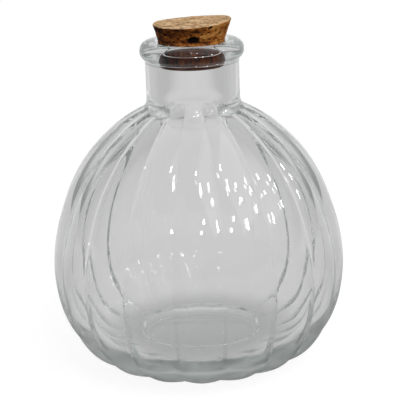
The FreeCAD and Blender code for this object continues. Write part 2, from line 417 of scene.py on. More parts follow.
@dataclass(frozen=True)
class PaleFloor:
    """Studio floor that shows white to the camera and pale through glass, and still takes a shadow.

    For rays that come through glass its glow is weaker close to the object, where a real floor is shaded,
    and out to the sides. For mirrored rays it is weaker in front of the object, where a room is dark behind
    a camera. Distances are in metres.
    """

    albedo: float = 0.20
    through_albedo: float = 0.05
    glow: float = 0.88
    mirrored_front: float = 0.06
    mirrored_back: float = 0.85
    near_glow: float = 0.385
    far_glow: float = 0.66
    near: float = 0.02
    far: float = 0.045
    side_level: float = 0.76
    side_start: float = 0.03
    side_end: float = 0.12
    front: float = 0.15

    def material(self) -> bpy.types.Material:
        """Builds the material.

        Returns:
            The floor material.
        """
        material, graph = new_material("pale_floor")
        place = graph.add("ShaderNodeTexCoord").outputs["Object"]
        glow = graph.fade(graph.length(place), self.near, self.far, self.near_glow, self.far_glow)
        spot = graph.split(place)
        beside = graph.math("ABSOLUTE", spot["X"])
        darker = graph.fade(beside, self.side_start, self.side_end, 1.0, self.side_level)
        through = graph.math("MULTIPLY", glow, darker)
        mirrored = graph.fade(spot["Y"], -self.far, self.front, self.mirrored_front, self.mirrored_back)
        levels = {Ray.CAMERA: self.glow, Ray.GLOSSY: mirrored, Ray.TRANSMISSION: through}
        seen = graph.tint(ray_share(graph, Ray.CAMERA), grey(self.through_albedo), grey(self.albedo))
        shade = graph.tint(ray_share(graph, Ray.GLOSSY), seen, grey(0.0))
        diffuse = graph.add("ShaderNodeBsdfDiffuse", {"Color": shade})
        lit = graph.add(
            "ShaderNodeEmission", {"Color": grey(1.0), "Strength": seen_level(graph, levels)}
        )
        both = graph.add("ShaderNodeAddShader")
        graph.feed(both.inputs[0], diffuse.outputs["BSDF"])
        graph.feed(both.inputs[1], lit.outputs["Emission"])
        graph.add("ShaderNodeOutputMaterial", {"Surface": both.outputs["Shader"]})
        return material


def ray_share(graph: Graph, ray: Ray) -> Socket:
    """Tells one kind of ray from the others.

    Blender counts rays that are bent through glass as glossy too, so they are taken out of the mirrored ones.

    Args:
        graph: Graph to add to.
        ray: Kind of ray.

    Returns:
        1 for that kind of ray and 0 for all others.
    """
    path = graph.add("ShaderNodeLightPath").outputs
    if ray is not Ray.GLOSSY:
        return path[ray.value]
    return graph.math("GREATER_THAN", path[Ray.GLOSSY.value], path[Ray.TRANSMISSION.value])


def seen_level(graph: Graph, levels: Mapping[Ray, Any]) -> Socket:
    """Brightness of the backdrop for the rays that see it.

    Args:
        graph: Graph to add to.
        levels: Brightness for each kind of ray.

    Returns:
        The brightness, or 0 for all other rays.
    """
    level: Any = 0.0
    for ray, brightness in levels.items():
        level = graph.math("MAXIMUM", level, graph.math("MULTIPLY", ray_share(graph, ray), brightness))
    return level


@dataclass(frozen=True)
class Ring:
    """One ring of a turned shape, in millimetres."""

    radius: float
    height: float
    lobe_depth: float = 0.0
    wobble: float = 0.0
    softness: float = 0.0

    def towards(self, other: "Ring", share: float) -> "Ring":
        """Ring a share of the way to another."""
        pairs = zip(self.values(), other.values())
        return Ring(*(start + (end - start) * share for start, end in pairs))

    def values(self) -> tuple[float, ...]:
        """The ring's numbers."""
        return self.radius, self.height, self.lobe_depth, self.wobble, self.softness

    def gap(self, other: "Ring") -> float:
        """Distance to another ring along the outline."""
        return math.hypot(other.radius - self.radius, other.height - self.height)


def straight(start: Ring, end: Ring, spacing: float) -> list[Ring]:
    """Rings along a straight run, at most a spacing apart, without the last."""
    steps = max(1, math.ceil(start.gap(end) / spacing))
    return [start.towards(end, step / steps) for step in range(steps)]


def bend(start: Ring, corner: Ring, end: Ring, spacing: float) -> list[Ring]:
    """Rings round a corner, tangent to both of its sides, without the last.

    Args:
        start: Ring where the bend starts.
        corner: Ring at the sharp corner.
        end: Ring where the bend ends.
        spacing: Largest step.

    Returns:
        The rings.
    """
    steps = max(BEND_STEPS, math.ceil((start.gap(corner) + corner.gap(end)) / spacing))
    shares = [step / steps for step in range(steps)]
    return [start.towards(corner, share).towards(corner.towards(end, share), share) for share in shares]


def spread(radii: Span, heights: Span, shares: Sequence[Span]) -> list[Ring]:
    """Rings of an outline that is given in shares.

    Args:
        radii: Radius at swell 0 and at swell 1.
        heights: Height at rise 0 and at rise 1.
        shares: Rise and swell of each ring.

    Returns:
        The rings.
    """
    swell_by = radii[1] - radii[0]
    rise_by = heights[1] - heights[0]
    return [Ring(radii[0] + swell_by * swell, heights[0] + rise_by * rise) for rise, swell in shares]


def hump(share: float) -> float:
    """Height of a smooth hump, from 0 over 1 and back to 0 while the share goes from 0 to 1."""
    return (1 - math.cos(math.tau * share)) / 2


def smooth(rings: Sequence[Ring], spacing: float) -> list[Ring]:
    """Rings on a smooth curve through given rings, without the last.

    Each end is carried on by the mirror image of the ring next to it.

    Args:
        rings: Rings that the curve passes through.
        spacing: Largest step.

    Returns:
        The rings.
    """
    mirrored = 2.0
    ends = [rings[1].towards(rings[0], mirrored), *rings, rings[-2].towards(rings[-1], mirrored)]
    line: list[Ring] = []
    for before, start, end, after in zip(ends, ends[1:], ends[2:], ends[3:]):
        reach = start.gap(end)
        lead_in = reach / max(before.gap(start) + reach, TINY)
        lead_out = reach / max(reach + end.gap(after), TINY)
        steps = max(1, math.ceil(reach / spacing))
        for step in range(steps):
            share = step / steps
            line.append(between_rings(before, start, end, after, share, lead_in, lead_out))
    return line


def between_rings(
    before: Ring, start: Ring, end: Ring, after: Ring, share: float, lead_in: float, lead_out: float
) -> Ring:
    """Point of a cubic curve between two rings, whose slopes follow the rings beside them.

    Args:
        before: Ring before the start.
        start: Ring at share 0.
        end: Ring at share 1.
        after: Ring after the end.
        share: Place between start and end.
        lead_in: Length of the slope at the start, as a share of before to end.
        lead_out: Length of the slope at the end, as a share of start to after.

    Returns:
        The ring there.
    """
    square, cube = share**2, share**3
    weights = (2 * cube - 3 * square + 1, cube - 2 * square + share, 3 * square - 2 * cube, cube - square)
    columns = zip(before.values(), start.values(), end.values(), after.values())
    blended = []
    for low, first, last, high in columns:
        slopes = ((last - low) * lead_in, (high - first) * lead_out)
        terms = (first, slopes[0], last, slopes[1])
        blended.append(sum(weight * term for weight, term in zip(weights, terms)))
    return Ring(*blended)


class GeometryTree(Graph):
    """Geometry Nodes tree whose named inputs are set on a modifier."""

    def __init__(self, name: str, inputs: Sequence[tuple[str, str]]) -> None:
        """Makes the tree and its inputs.

        Args:
            name: The tree's name.
            inputs: Name and socket type of each input after the geometry.
        """
        super().__init__(bpy.data.node_groups.new(name, "GeometryNodeTree"))
        sockets = self.tree.interface
        sockets.new_socket("Geometry", in_out="INPUT", socket_type="NodeSocketGeometry")
        self.identifiers: dict[str, str] = {}
        for label, kind in inputs:
            socket = sockets.new_socket(label, in_out="INPUT", socket_type=kind)
            self.identifiers[label] = socket.identifier
        sockets.new_socket("Geometry", in_out="OUTPUT", socket_type="NodeSocketGeometry")
        self.given = self.add("NodeGroupInput").outputs

    def close(self, geometry: Socket) -> None:
        """Ends the tree in real geometry with its finish.

        Args:
            geometry: What the tree has made.
        """
        real = self.add("GeometryNodeRealizeInstances", {"Geometry": geometry}).outputs["Geometry"]
        dressed = self.add("GeometryNodeSetMaterial", {"Geometry": real, "Material": self.given["Finish"]})
        self.add("NodeGroupOutput", {"Geometry": dressed.outputs["Geometry"]})

    def named(self, name: str) -> Socket:
        """Number stored on the geometry under a name."""
        node = self.add("GeometryNodeInputNamedAttribute", {"Name": name}, data_type="FLOAT")
        return node.outputs["Attribute"]

    def apply(self, name: str, mesh: bpy.types.Mesh, values: Mapping[str, Any]) -> bpy.types.Mesh:
        """Runs the tree on a mesh.

        Args:
            name: Name of the mesh that comes out.
            mesh: Mesh that goes in, which is removed afterwards.
            values: Value of each named input.

        Returns:
            The result as a plain mesh.
        """
        carrier = bpy.data.objects.new(f"{name}_carrier", mesh)
        modifier = carrier.modifiers.new(self.tree.name, "NODES")
        modifier.node_group = self.tree
        for label, value in values.items():
            modifier[self.identifiers[label]] = value
        bpy.context.scene.collection.objects.link(carrier)
        depsgraph = bpy.context.evaluated_depsgraph_get()
        made = bpy.data.meshes.new_from_object(carrier.evaluated_get(depsgraph))
        made.name = name
        bpy.data.objects.remove(carrier)
        bpy.data.meshes.remove(mesh)
        return made


class TurnedTree(GeometryTree):
    """Turns an outline about the upright axis and swells each ring into lobes."""

    def __init__(self) -> None:
        """Builds the tree."""
        super().__init__(
            "turned_shape",
            (
                ("Columns", "NodeSocketInt"),
                ("Rows", "NodeSocketInt"),
                ("Lobes", "NodeSocketInt"),
                ("Wobble Scale", "NodeSocketFloat"),
                ("Crease Angle", "NodeSocketFloat"),
                ("Finish", "NodeSocketMaterial"),
            ),
        )
        columns = self.math("ADD", self.given["Columns"], 1.0)
        size = 1.0
        feeds = {"Size X": size, "Size Y": size, "Vertices X": columns, "Vertices Y": self.given["Rows"]}
        sheet = self.add("GeometryNodeMeshGrid", feeds).outputs["Mesh"]
        place = self.add("GeometryNodeInputPosition").outputs["Position"]
        across = self.split(place)
        angle = self.math("MULTIPLY", self.math("ADD", across["X"], size / 2), math.tau)
        last = self.math("SUBTRACT", self.given["Rows"], 1.0)
        row = self.math("ROUND", self.math("MULTIPLY", self.math("ADD", across["Y"], size / 2), last))
        ring = self.split(self.sampled(place, row, "FLOAT_VECTOR"))
        depth = self.sampled(self.named("lobe_depth"), row, "FLOAT")
        wobble = self.sampled(self.named("wobble"), row, "FLOAT")
        softness = self.sampled(self.named("softness"), row, "FLOAT")
        arched = self.arched_radius(ring["X"], depth, angle)
        waved = self.waved_radius(ring["X"], depth, angle)
        softer = self.math("MULTIPLY", softness, self.math("SUBTRACT", waved, arched))
        radius = self.math("ADD", arched, softer)
        spot = self.spun(radius, angle, ring["Z"])
        waves = self.noise(spot, self.given["Wobble Scale"], detail=1.0)
        wavy = self.math("SUBTRACT", radius, self.math("MULTIPLY", wobble, waves))
        moved = self.add(
            "GeometryNodeSetPosition", {"Geometry": sheet, "Position": self.spun(wavy, angle, ring["Z"])}
        )
        joined = self.add(
            "GeometryNodeMergeByDistance", {"Geometry": moved.outputs["Geometry"], "Distance": MERGE_GAP}
        )
        bent = self.add("GeometryNodeInputMeshEdgeAngle").outputs["Unsigned Angle"]
        gentle = self.add("FunctionNodeCompare", data_type="FLOAT", operation="LESS_THAN")
        self.feed(gentle.inputs[0], bent)
        self.feed(gentle.inputs[1], self.given["Crease Angle"])
        faces = self.add(
            "GeometryNodeSetShadeSmooth", {"Geometry": joined.outputs["Geometry"]}, domain="FACE"
        )
        edges = self.add(
            "GeometryNodeSetShadeSmooth",
            {"Geometry": faces.outputs["Geometry"], "Shade Smooth": gentle.outputs["Result"]},
            domain="EDGE",
        )
        self.close(edges.outputs["Geometry"])

    def sampled(self, value: Socket, row: Socket, kind: str) -> Socket:
        """Value of a field on the outline at one row, with Blender's name of the value's type."""
        feeds = {"Geometry": self.given["Geometry"], "Value": value, "Index": row}
        return self.add("GeometryNodeSampleIndex", feeds, data_type=kind).outputs["Value"]

    def arched_radius(self, crest: Socket, depth: Socket, angle: Socket) -> Socket:
        """Radius of a ring whose lobes are arcs that meet in valleys.

        Args:
            crest: Radius at the crests.
            depth: How far the valleys lie under the crests.
            angle: Angle round the axis.

        Returns:
            The radius at that angle.
        """
        half_pitch = self.math("DIVIDE", math.pi, self.given["Lobes"])
        valley = self.math("SUBTRACT", crest, depth)
        half_width = self.math("MULTIPLY", valley, self.math("SINE", half_pitch))
        level = self.math("MULTIPLY", valley, self.math("COSINE", half_pitch))
        rise = self.math("MAXIMUM", self.math("SUBTRACT", crest, level), TINY)
        squares = self.math("ADD", self.math("POWER", half_width, 2.0), self.math("POWER", rise, 2.0))
        arc = self.math("DIVIDE", squares, self.math("MULTIPLY", rise, 2.0))
        centre = self.math("SUBTRACT", crest, arc)
        turn = self.math("WRAP", angle, half_pitch, self.math("MULTIPLY", half_pitch, -1.0))
        aside = self.math("MULTIPLY", centre, self.math("SINE", turn))
        reach = self.math("SUBTRACT", self.math("MULTIPLY", arc, arc), self.math("MULTIPLY", aside, aside))
        ahead = self.math("MULTIPLY", centre, self.math("COSINE", turn))
        return self.math("ADD", ahead, self.math("SQRT", reach))

    def waved_radius(self, crest: Socket, depth: Socket, angle: Socket) -> Socket:
        """Radius of a ring whose lobes are an even wave.

        Args:
            crest: Radius at the crests.
            depth: How far the valleys lie under the crests.
            angle: Angle round the axis.

        Returns:
            The radius at that angle.
        """
        wave = self.math("COSINE", self.math("MULTIPLY", angle, self.given["Lobes"]))
        sink = self.math("MULTIPLY", depth, self.math("MULTIPLY", self.math("SUBTRACT", 1.0, wave), 0.5))
        return self.math("SUBTRACT", crest, sink)

    def spun(self, radius: Socket, angle: Socket, height: Socket) -> Socket:
        """Point at a radius, angle and height, with angle 0 at the front.

        Args:
            radius: Distance from the axis.
            angle: Angle round the axis.
            height: Height above the floor.

        Returns:
            The point.
        """
        right = self.math("MULTIPLY", radius, self.math("SINE", angle))
        front = self.math("MULTIPLY", radius, self.math("COSINE", angle))
        return self.join(right, self.math("MULTIPLY", front, -1.0), height)

    def turn(self, name: str, rings: Sequence[Ring], values: Mapping[str, Any]) -> bpy.types.Mesh:
        """Turns an outline.

        Args:
            name: Name of the mesh.
            rings: The outline.
            values: Value of each named input but the number of rows.

        Returns:
            The turned mesh, closed and facing outwards.
        """
        line = bpy.data.meshes.new(f"{name}_outline")
        line.from_pydata([(ring.radius * MM, 0.0, ring.height * MM) for ring in rings], [], [])
        for label, unit in (("lobe_depth", MM), ("wobble", MM), ("softness", 1.0)):
            numbers = line.attributes.new(label, "FLOAT", "POINT").data
            numbers.foreach_set("value", [getattr(ring, label) * unit for ring in rings])
        mesh = self.apply(name, line, {**values, "Rows": len(rings)})
        face_outwards(mesh)
        return mesh


def face_outwards(mesh: bpy.types.Mesh) -> None:
    """Turns the faces of a closed mesh outwards.

    Args:
        mesh: Mesh to correct in place.
    """
    working = bmesh.new()
    working.from_mesh(mesh)
    bmesh.ops.recalc_face_normals(working, faces=working.faces)
    working.to_mesh(mesh)
    working.free()


def add_piece(name: str, mesh: bpy.types.Mesh, body: Body, node: str) -> bpy.types.Object:
    """Puts a finished mesh in the scene in place of its CAD node.

    Args:
        name: Name of the piece.
        mesh: Its mesh, in the CAD frame.
        body: Body that it rides on.
        node: CAD node that it stands for.

    Returns:
        The piece.
    """
    piece = bpy.data.objects.new(name, mesh)
    bpy.context.scene.collection.objects.link(piece)
    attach(piece, body.value)
    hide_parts(node)
    return piece


@dataclass
class GlassJar:
    """Belly, shoulder, neck and bead lip of the jar, one piece of glass.

    Millimetres and degrees, and the wobble's scale in bumps for each metre. Shares run from the foot up to
    the neck, and a pair of them is a rise and a swell. A bore line has a height, a width and a depth.
    """

    belly_radius: float = 48.55
    belly_height: float = 33.5
    foot_radius: float = 29.8
    shoulder_height: float = 85.6
    shoulder_bend: float = 3.0
    neck_radius: float = 15.2
    bead_height: float = 103.5
    bead_radius: float = 4.0
    bead_overhang: float = 1.65
    bead_rise: float = 3.3
    bead_drop: float = 3.3
    upper_squareness: float = 2.5
    lower_squareness: float = 2.0
    bead_bend: float = 1.1
    lobe_count: int = 18
    lobe_depth: float = 1.05
    belly_wall: float = 2.4
    bore_radius: float = 10.9
    bore_foot: float = 84.4
    mouth_bend: float = 1.2
    bore_lines: tuple[tuple[float, float, float], ...] = ((103.17, 0.07, 0.04), (101.2, 0.6, 0.2))
    bore_line_steps: int = 8
    floor_height: float = 6.8
    floor_radius: float = 22.6
    floor_ridge: float = 0.5
    floor_ridge_width: float = 2.8
    push_up_radius: float = 23.6
    push_up_height: float = 1.0
    push_up_bend: float = 2.0
    heel_bend: float = 2.6
    wall_spacing: float = 1.3
    fine_spacing: float = 0.48
    ridge_spacing: float = 0.24
    columns_in_lobe: int = 16
    inner_lobe_depth: float = 1.05
    inner_softness: float = 0.1
    inner_wobble: float = 0.1
    wobble_scale: float = 55.0
    crease_angle: float = 18.0
    lower_shares: tuple[Span, ...] = (
        (0, 0), (0.113, 0.41), (0.277, 0.68), (0.505, 0.875), (0.746, 0.972), (1, 1)
    )
    upper_shares: tuple[Span, ...] = (
        (0.179, 0.97), (0.348, 0.9), (0.517, 0.79), (0.667, 0.644), (0.808, 0.446), (0.923, 0.222), (1, 0)
    )
    cavity_shares: tuple[Span, ...] = (
        (0, 0), (0.06, 0.42), (0.2, 0.7), (0.45, 0.89), (0.72, 0.975), (1, 1)
    )
    depth_shares: Shares = (1.3, 1.75, 1.35, 1.1, 1, 1, 1, 1.05, 1.15, 1.15, 0.95, 0.6, 0)
    inner_depth_shares: Shares = (0, 0.6, 1, 1, 1, 1, 1, 1.05, 1.15, 1.1, 0.7, 0.3, 0)
    wobble_shares: Shares = (0, 0, 0, 1, 1, 1, 1, 1, 1, 1, 0, 0, 0)
    soft_shares: Shares = (0.2, 0.2, 0.1, 0, 0, 0, 0, 0, 0, 0, 0, 0, 0)

    def build(self, turner: TurnedTree, finish: ClearGlass) -> bpy.types.Object:
        """Makes the jar.

        Args:
            turner: Tree that turns outlines.
            finish: The glass.

        Returns:
            The jar as a piece.
        """
        rings = self.under_side() + self.outside() + self.bead() + self.inside()
        mesh = turner.turn(
            "glass_jar_blown",
            rings,
            {
                "Columns": self.lobe_count * self.columns_in_lobe,
                "Lobes": self.lobe_count,
                "Wobble Scale": self.wobble_scale,
                "Crease Angle": math.radians(self.crease_angle),
                "Finish": finish.material(),
            },
        )
        return add_piece("glass_jar_blown", mesh, Body.JAR, "glass_jar")

    def outer_levels(self) -> list[Ring]:
        """Rings that the outside passes through, from the foot to the neck.

        Returns:
            The rings.
        """
        levels = spread((self.foot_radius, self.belly_radius), (0.0, self.belly_height), self.lower_shares)
        upper = (self.belly_height, self.shoulder_height)
        levels += spread((self.neck_radius, self.belly_radius), upper, self.upper_shares)
        return [
            Ring(level.radius, level.height, self.lobe_depth * share, softness=softness)
            for level, share, softness in zip(levels, self.depth_shares, self.soft_shares)
        ]

    def under_side(self) -> list[Ring]:
        """Push-up dome and the flat ring that the jar stands on.

        Returns:
            The rings, from the middle outwards.
        """
        dome_radius = (self.push_up_radius**2 + self.push_up_height**2) / (2 * self.push_up_height)
        middle = self.push_up_height - dome_radius
        reach = math.asin((self.push_up_radius - self.push_up_bend) / dome_radius)
        steps = math.ceil(dome_radius * reach / self.wall_spacing)
        dome = []
        for step in range(steps + 1):
            angle = reach * step / steps
            dome.append(Ring(dome_radius * math.sin(angle), middle + dome_radius * math.cos(angle)))
        brink = Ring(self.push_up_radius, 0.0)
        stand = Ring(self.push_up_radius + self.push_up_bend, 0.0)
        rings = dome[:-1] + bend(dome[-1], brink, stand, self.fine_spacing)
        return rings + straight(stand, self.heel_start(), self.wall_spacing)

    def heel_start(self) -> Ring:
        """Ring where the flat foot starts to turn up into the heel."""
        depth = self.lobe_depth * self.depth_shares[0]
        return Ring(self.foot_radius - self.heel_bend, 0.0, depth, softness=self.soft_shares[0])

    def outside(self) -> list[Ring]:
        """Heel, belly and shoulder, and the neck up to the bead.

        Returns:
            The rings, from the foot upwards.
        """
        levels = self.outer_levels()
        wall = smooth(levels, self.wall_spacing)
        heel = next(index for index, ring in enumerate(wall) if levels[0].gap(ring) > self.heel_bend)
        top = next(index for index, ring in enumerate(wall) if levels[-1].gap(ring) < self.shoulder_bend)
        rings = bend(self.heel_start(), levels[0], wall[heel], self.fine_spacing)
        rings += wall[heel:top]
        neck_foot = Ring(self.neck_radius, self.shoulder_height + self.shoulder_bend)
        rings += bend(wall[top], levels[-1], neck_foot, self.fine_spacing)
        rings += straight(neck_foot, self.bead_foot(-self.bead_bend), self.wall_spacing)
        return rings

    def bead_foot(self, above: float = 0.0) -> Ring:
        """Ring on the neck where the bead springs from it, or a distance above that."""
        return Ring(self.neck_radius, self.bead_point(self.bead_foot_angle()).height + above)

    def bead_foot_angle(self) -> float:
        """Angle on the bead's section at which it meets the neck."""
        return -self.bead_angle(self.neck_radius, self.lower_squareness)

    def bead_angle(self, radius: float, squareness: float) -> float:
        """Angle up from the middle of the bead's section at which it lies at a radius from the axis.

        Args:
            radius: Distance from the axis.
            squareness: Power of the section's rounded square.

        Returns:
            The angle in radians.
        """
        share = (radius - self.bead_centre()[0]) / self.bead_radius
        rise = (1 - abs(share) ** squareness) ** (1 / squareness)
        return math.atan2(rise, share)

    def bead_centre(self) -> tuple[float, float]:
        """Radius and height of the middle of the bead's section."""
        radius = self.neck_radius + self.bead_overhang - self.bead_radius
        return radius, self.bead_height

    def bead_point(self, angle: float) -> Ring:
        """Ring on the bead's section.

        Args:
            angle: Angle in radians from the widest point upwards.

        Returns:
            The ring.
        """
        radius, height = self.bead_centre()
        across, up = math.cos(angle), math.sin(angle)
        squareness = self.upper_squareness if up > 0 else self.lower_squareness
        rise = (self.bead_rise if up > 0 else self.bead_drop) / self.bead_radius
        reach = self.bead_radius * (abs(across) ** squareness + abs(up) ** squareness) ** (-1 / squareness)
        return Ring(radius + reach * across, height + reach * up * rise)

    def bead(self) -> list[Ring]:
        """Rolled bead, from the neck over the lip and into the mouth.

        Returns:
            The rings.
        """
        low = self.bead_foot_angle()
        high = self.bead_angle(self.bore_radius, self.upper_squareness)
        start = low + self.bead_bend / self.bead_radius
        end = high - self.mouth_bend / self.bead_radius
        foot = self.bead_foot(-self.bead_bend)
        rings = bend(foot, self.bead_foot(), self.bead_point(start), self.fine_spacing)
        steps = math.ceil((end - start) * self.bead_radius / self.fine_spacing)
        rings += [self.bead_point(start + (end - start) * step / steps) for step in range(steps)]
        corner = self.bead_point(high)
        throat = Ring(self.bore_radius, corner.height - self.mouth_bend)
        rings += bend(self.bead_point(end), corner, throat, self.fine_spacing)
        for height, width, depth in self.bore_lines:
            line = self.bore_line(height, width, depth)
            rings += straight(throat, line[0], self.wall_spacing) + line[:-1]
            throat = line[-1]
        return rings + straight(throat, self.bore_end(), self.wall_spacing)

    def bore_line(self, height: float, width: float, depth: float) -> list[Ring]:
        """Rings of a fine mould line round the bore.

        Args:
            height: Height of its middle.
            width: Width from edge to edge.
            depth: Depth of its middle.

        Returns:
            The rings, from its upper edge to its lower edge.
        """
        top = height + width / 2
        shares = [step / self.bore_line_steps for step in range(self.bore_line_steps + 1)]
        return [Ring(self.bore_radius + depth * hump(share), top - width * share) for share in shares]

    def bore_end(self) -> Ring:
        """Ring where the bore starts to open into the belly."""
        return Ring(self.bore_radius, self.bore_foot + self.shoulder_bend)

    def inside(self) -> list[Ring]:
        """Inside of the shoulder and belly, and the floor.

        Returns:
            The rings, from the bore downwards.
        """
        inner_belly = self.belly_radius - self.lobe_depth - self.belly_wall
        lower = (self.floor_height, self.belly_height)
        upper = (self.belly_height, self.bore_foot)
        valleys = spread((self.floor_radius, inner_belly), lower, self.cavity_shares)
        valleys += spread((self.bore_radius, inner_belly), upper, self.upper_shares)
        levels = [
            self.inner_level(valley, depth, wobble)
            for valley, depth, wobble in zip(valleys, self.inner_depth_shares, self.wobble_shares)
        ]
        wall = smooth(levels[::-1], self.wall_spacing)
        first = next(index for index, ring in enumerate(wall) if levels[-1].gap(ring) > self.shoulder_bend)
        rings = bend(self.bore_end(), levels[-1], wall[first], self.fine_spacing)
        return rings + wall[first:] + self.floor()

    def floor(self) -> list[Ring]:
        """Floor inside the jar: a ring-shaped ridge and a flat middle.

        Returns:
            The rings, from the wall inwards.
        """
        steps = math.ceil(self.floor_ridge_width / self.ridge_spacing)
        rings = []
        for step in range(steps):
            share = step / steps
            radius = self.floor_radius - self.floor_ridge_width * share
            rings.append(Ring(radius, self.floor_height + self.floor_ridge * hump(share)))
        disc = Ring(self.floor_radius - self.floor_ridge_width, self.floor_height)
        middle = Ring(0.0, self.floor_height)
        return rings + straight(disc, middle, self.wall_spacing) + [middle]

    def inner_level(self, valley: Ring, depth_share: float, wobble_share: float) -> Ring:
        """Ring of the inside with its lobes.

        Args:
            valley: Ring in the valleys between the lobes.
            depth_share: Share of the lobes' depth.
            wobble_share: Share of the wall's unevenness.

        Returns:
            The ring at the crests.
        """
        depth = self.inner_lobe_depth * depth_share
        wobble = self.inner_wobble * wobble_share
        return Ring(valley.radius + depth, valley.height, depth, wobble, self.inner_softness)


@dataclass(frozen=True)
class Hollow:
    """Large pore in the cork's side. Degrees from the front and millimetres."""

    angle: float
    height: float
    radius: float
    depth: float


class BarkTree(GeometryTree):
    """Wears a smooth plug into cork: slanted top, grain, scattered pits and a few large hollows.

    The end range is in uprightness of the surface, and the wear and pit ranges are in radii. The density is
    in pits for each square metre, and the ragged scale in bumps for each millimetre.
    """

    end_range: Span = (0.5, 0.9)
    wear_range: Span = (0.4, 1.0)
    pit_range: Span = (0.55, 1.3)
    pit_density: float = 4.0e5
    ragged_scale: float = 1.1
    raggedness: float = 0.9

    def __init__(self, hollows: Sequence[tuple[Vector, float, float]]) -> None:
        """Builds the tree.

        Args:
            hollows: Place, radius and depth of each large hollow, in metres.
        """
        sizes = (
            "Top Slope", "Top Lean", "Front Wear", "Back Wear", "Rim Radius", "Slope Foot", "Slope Top",
            "Grain Scale", "Grain Depth", "Pit Spacing", "Pit Radius", "Pit Depth", "Flatness",
        )
        inputs = [(size, "NodeSocketFloat") for size in sizes]
        inputs += [("Seed", "NodeSocketInt"), ("Finish", "NodeSocketMaterial")]
        super().__init__("cork_bark", inputs)
        given = self.given
        place = self.add("GeometryNodeInputPosition").outputs["Position"]
        across = self.split(place)
        normal = self.add("GeometryNodeInputNormal").outputs["Normal"]
        # Marks the ends, which the cork material paints paler, partly as painted light on the top.
        at_end = self.fade(self.math("ABSOLUTE", self.split(normal)["Z"]), *self.end_range)
        marked = self.store(given["Geometry"], "cut_end", at_end)
        scattered = self.add(
            "GeometryNodeDistributePointsOnFaces",
            {
                "Mesh": given["Geometry"],
                "Distance Min": given["Pit Spacing"],
                "Density Max": self.pit_density,
                "Seed": given["Seed"],
            },
            distribute_method="POISSON",
        )
        grain = self.noise(place, given["Grain Scale"], detail=4.0, roughness=0.6)
        sunk = self.math("MULTIPLY", self.math("SUBTRACT", 1.0, grain), given["Grain Depth"])
        dark, deep = self.pit(scattered.outputs["Points"], place, given["Pit Radius"], given["Pit Depth"])
        for centre, radius, depth in hollows:
            point = self.add("GeometryNodePoints", {"Count": 1, "Position": tuple(centre)})
            more_dark, more_deep = self.pit(point.outputs["Points"], place, radius, depth)
            dark = self.math("MAXIMUM", dark, more_dark)
            deep = self.math("MAXIMUM", deep, more_deep)
        stained = self.store(marked, "pit", dark)
        inwards = self.math("MULTIPLY", self.math("ADD", sunk, deep), -1.0)
        offset = self.add("ShaderNodeVectorMath", {"Scale": inwards}, operation="SCALE")
        self.feed(offset.inputs[0], normal)
        worn = self.add(
            "GeometryNodeSetPosition", {"Geometry": stained, "Offset": offset.outputs["Vector"]}
        )
        lift = self.fade(across["Z"], given["Slope Foot"], given["Slope Top"])
        behind = self.math("DIVIDE", across["Y"], given["Rim Radius"])
        start, full = self.wear_range
        off_back = self.math("MULTIPLY", self.fade(behind, start, full), given["Back Wear"])
        off_front = self.math("MULTIPLY", self.fade(behind, -start, -full), given["Front Wear"])
        worn_off = self.math("ADD", off_back, off_front)
        level = self.math("SUBTRACT", self.math("MULTIPLY", across["X"], given["Top Slope"]), worn_off)
        rise = self.math("MULTIPLY", level, lift)
        sideways = self.math("MULTIPLY", lift, given["Top Lean"])
        slanted = self.add(
            "GeometryNodeSetPosition",
            {"Geometry": worn.outputs["Geometry"], "Offset": self.join(sideways, 0.0, rise)},
        )
        self.close(slanted.outputs["Geometry"])

    def store(self, geometry: Socket, name: str, value: Socket) -> Socket:
        """Keeps a number for each point of the geometry.

        Args:
            geometry: Geometry to write on.
            name: Name of the attribute.
            value: The number.

        Returns:
            The geometry with the attribute.
        """
        feeds = {"Geometry": geometry, "Name": name, "Value": value}
        node = self.add("GeometryNodeStoreNamedAttribute", feeds, data_type="FLOAT", domain="POINT")
        return node.outputs["Geometry"]

    def pit(self, points: Socket, place: Socket, radius: Any, depth: Any) -> tuple[Socket, Socket]:
        """Pits round points, wider than they are tall.

        Args:
            points: Middles of the pits.
            place: Where on the cork.
            radius: Half width of a pit.
            depth: Depth at a pit's middle.

        Returns:
            How far inside a pit the place is, from 0 to 1, and how deep it lies.
        """
        squash = self.join(1.0, 1.0, self.given["Flatness"])
        flat = self.add("GeometryNodeTransform", {"Geometry": points, "Scale": squash})
        uneven = self.math("SUBTRACT", self.noise(place, self.ragged_scale / MM), NOISE_MIDDLE)
        ragged = self.math("MULTIPLY", uneven, self.raggedness)
        near = self.add(
            "GeometryNodeProximity",
            {"Source Position": self.vector_math("MULTIPLY", place, squash)},
            target_element="POINTS",
        )
        self.feed(near.inputs[0], flat.outputs["Geometry"])
        reach = self.math("DIVIDE", near.outputs["Distance"], radius)
        inside = self.fade(self.math("ADD", reach, ragged), *self.pit_range, 1.0, 0.0)
        return inside, self.math("MULTIPLY", inside, depth)


